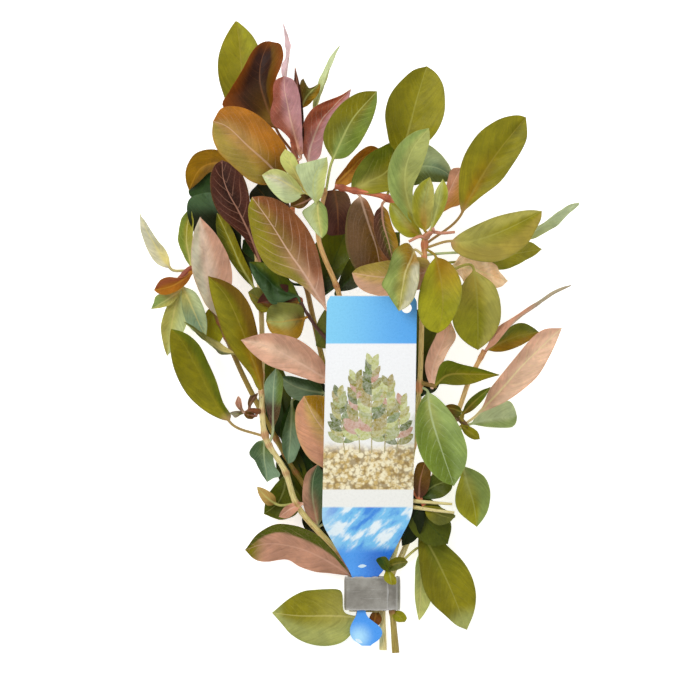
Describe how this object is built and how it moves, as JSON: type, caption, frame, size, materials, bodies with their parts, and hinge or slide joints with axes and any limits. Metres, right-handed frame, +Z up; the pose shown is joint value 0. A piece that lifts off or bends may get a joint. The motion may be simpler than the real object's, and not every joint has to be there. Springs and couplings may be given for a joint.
{
  "type": "cut bunch of aquarium plant, ludwigia repens",
  "caption": "Cut bunch of an aquarium stem plant with olive, green, rust and pink leaves, held by a lead strip, with a plant label without text.",
  "frame": {"origin": "middle of the bounding box on the surface that the bunch lies on", "axes": "+Y from the cut ends towards the growing tips, +Z up, away from the surface, +X to the right seen from above"},
  "size_m": [0.1659, 0.2396, 0.0493],
  "materials": {
    "leaf_olive": "semi-gloss olive leaf top",
    "leaf_green": "semi-gloss mid green leaf top",
    "leaf_dark_green": "dark green leaf, soft sheen",
    "leaf_grey_green": "matte pale grey-green underside",
    "leaf_pink": "matte pink underside with pale veins",
    "leaf_rust": "semi-gloss rust to amber leaf top",
    "leaf_maroon": "semi-gloss maroon-brown leaf top",
    "stem_tan": "satin, yellow to tan",
    "stem_red": "satin salmon red",
    "lead": "dull grey soft metal with light scratches",
    "label_card": "printed plastic card, semi-gloss"
  },
  "bodies": {
    "root": {"stem_left": "stem_tan", "stem_far_left": "stem_tan", "stem_centre": "stem_tan", "stem_top_left": "stem_tan", "stem_middle_right": "stem_tan", "stem_right": "stem_tan", "branch_salmon": "stem_red", "leaf_top_olive": "leaf_olive", "leaf_olive_long": "leaf_olive", "leaf_left_big_olive": "leaf_olive", "leaf_dark_olive_low": "leaf_olive", "leaf_olive_top_right": "leaf_olive", "leaf_right_big_olive": "leaf_olive", "leaf_right_green_olive": "leaf_olive", "leaf_oval_olive": "leaf_olive", "leaf_round_olive": "leaf_olive", "leaf_lower_left_flat": "leaf_olive", "leaf_lower_right_big": "leaf_olive", "leaf_olive_behind_right": "leaf_olive", "leaf_green_olive_low": "leaf_olive", "sprout_at_strip": "leaf_olive", "leaf_green_top": "leaf_green", "leaf_green_centre": "leaf_green", "leaf_right_green_big": "leaf_green", "leaf_dark_green_upper": "leaf_dark_green", "leaf_dark_green_lower": "leaf_dark_green", "leaf_dark_edge_on": "leaf_dark_green", "leaf_dark_green_low": "leaf_dark_green", "leaf_right_dark_green": "leaf_dark_green", "leaf_back_left": "leaf_dark_green", "leaf_back_lower": "leaf_dark_green", "leaf_back_middle": "leaf_dark_green", "leaf_back_right": "leaf_dark_green", "leaf_brown_green_long": "leaf_dark_green", "leaf_grey_edge_on": "leaf_grey_green", "leaf_front_folded": "leaf_grey_green", "leaf_pale_upright": "leaf_grey_green", "leaf_grey_green_behind": "leaf_grey_green", "leaf_grey_green_right": "leaf_grey_green", "leaf_right_narrow": "leaf_grey_green", "leaf_pale_narrow_low": "leaf_grey_green", "leaf_pink_upright": "leaf_pink", "leaf_folded_pink_low": "leaf_pink", "leaf_pink_level": "leaf_pink", "leaf_tan_pink_low": "leaf_pink", "leaf_pink_top": "leaf_pink", "leaf_dusty_pink_folded": "leaf_pink", "leaf_tan_pink_behind": "leaf_pink", "leaf_crumpled_pink": "leaf_pink", "leaf_pink_edge_on": "leaf_pink", "leaf_pink_big_right": "leaf_pink", "leaf_left_amber": "leaf_rust", "leaf_orange_broad": "leaf_rust", "leaf_rust_folded": "leaf_rust", "leaf_maroon_behind": "leaf_maroon", "leaf_pink_brown_big": "leaf_maroon", "lead_strip": "lead", "plant_label": "label_card"}
  },
  "joints": []
}
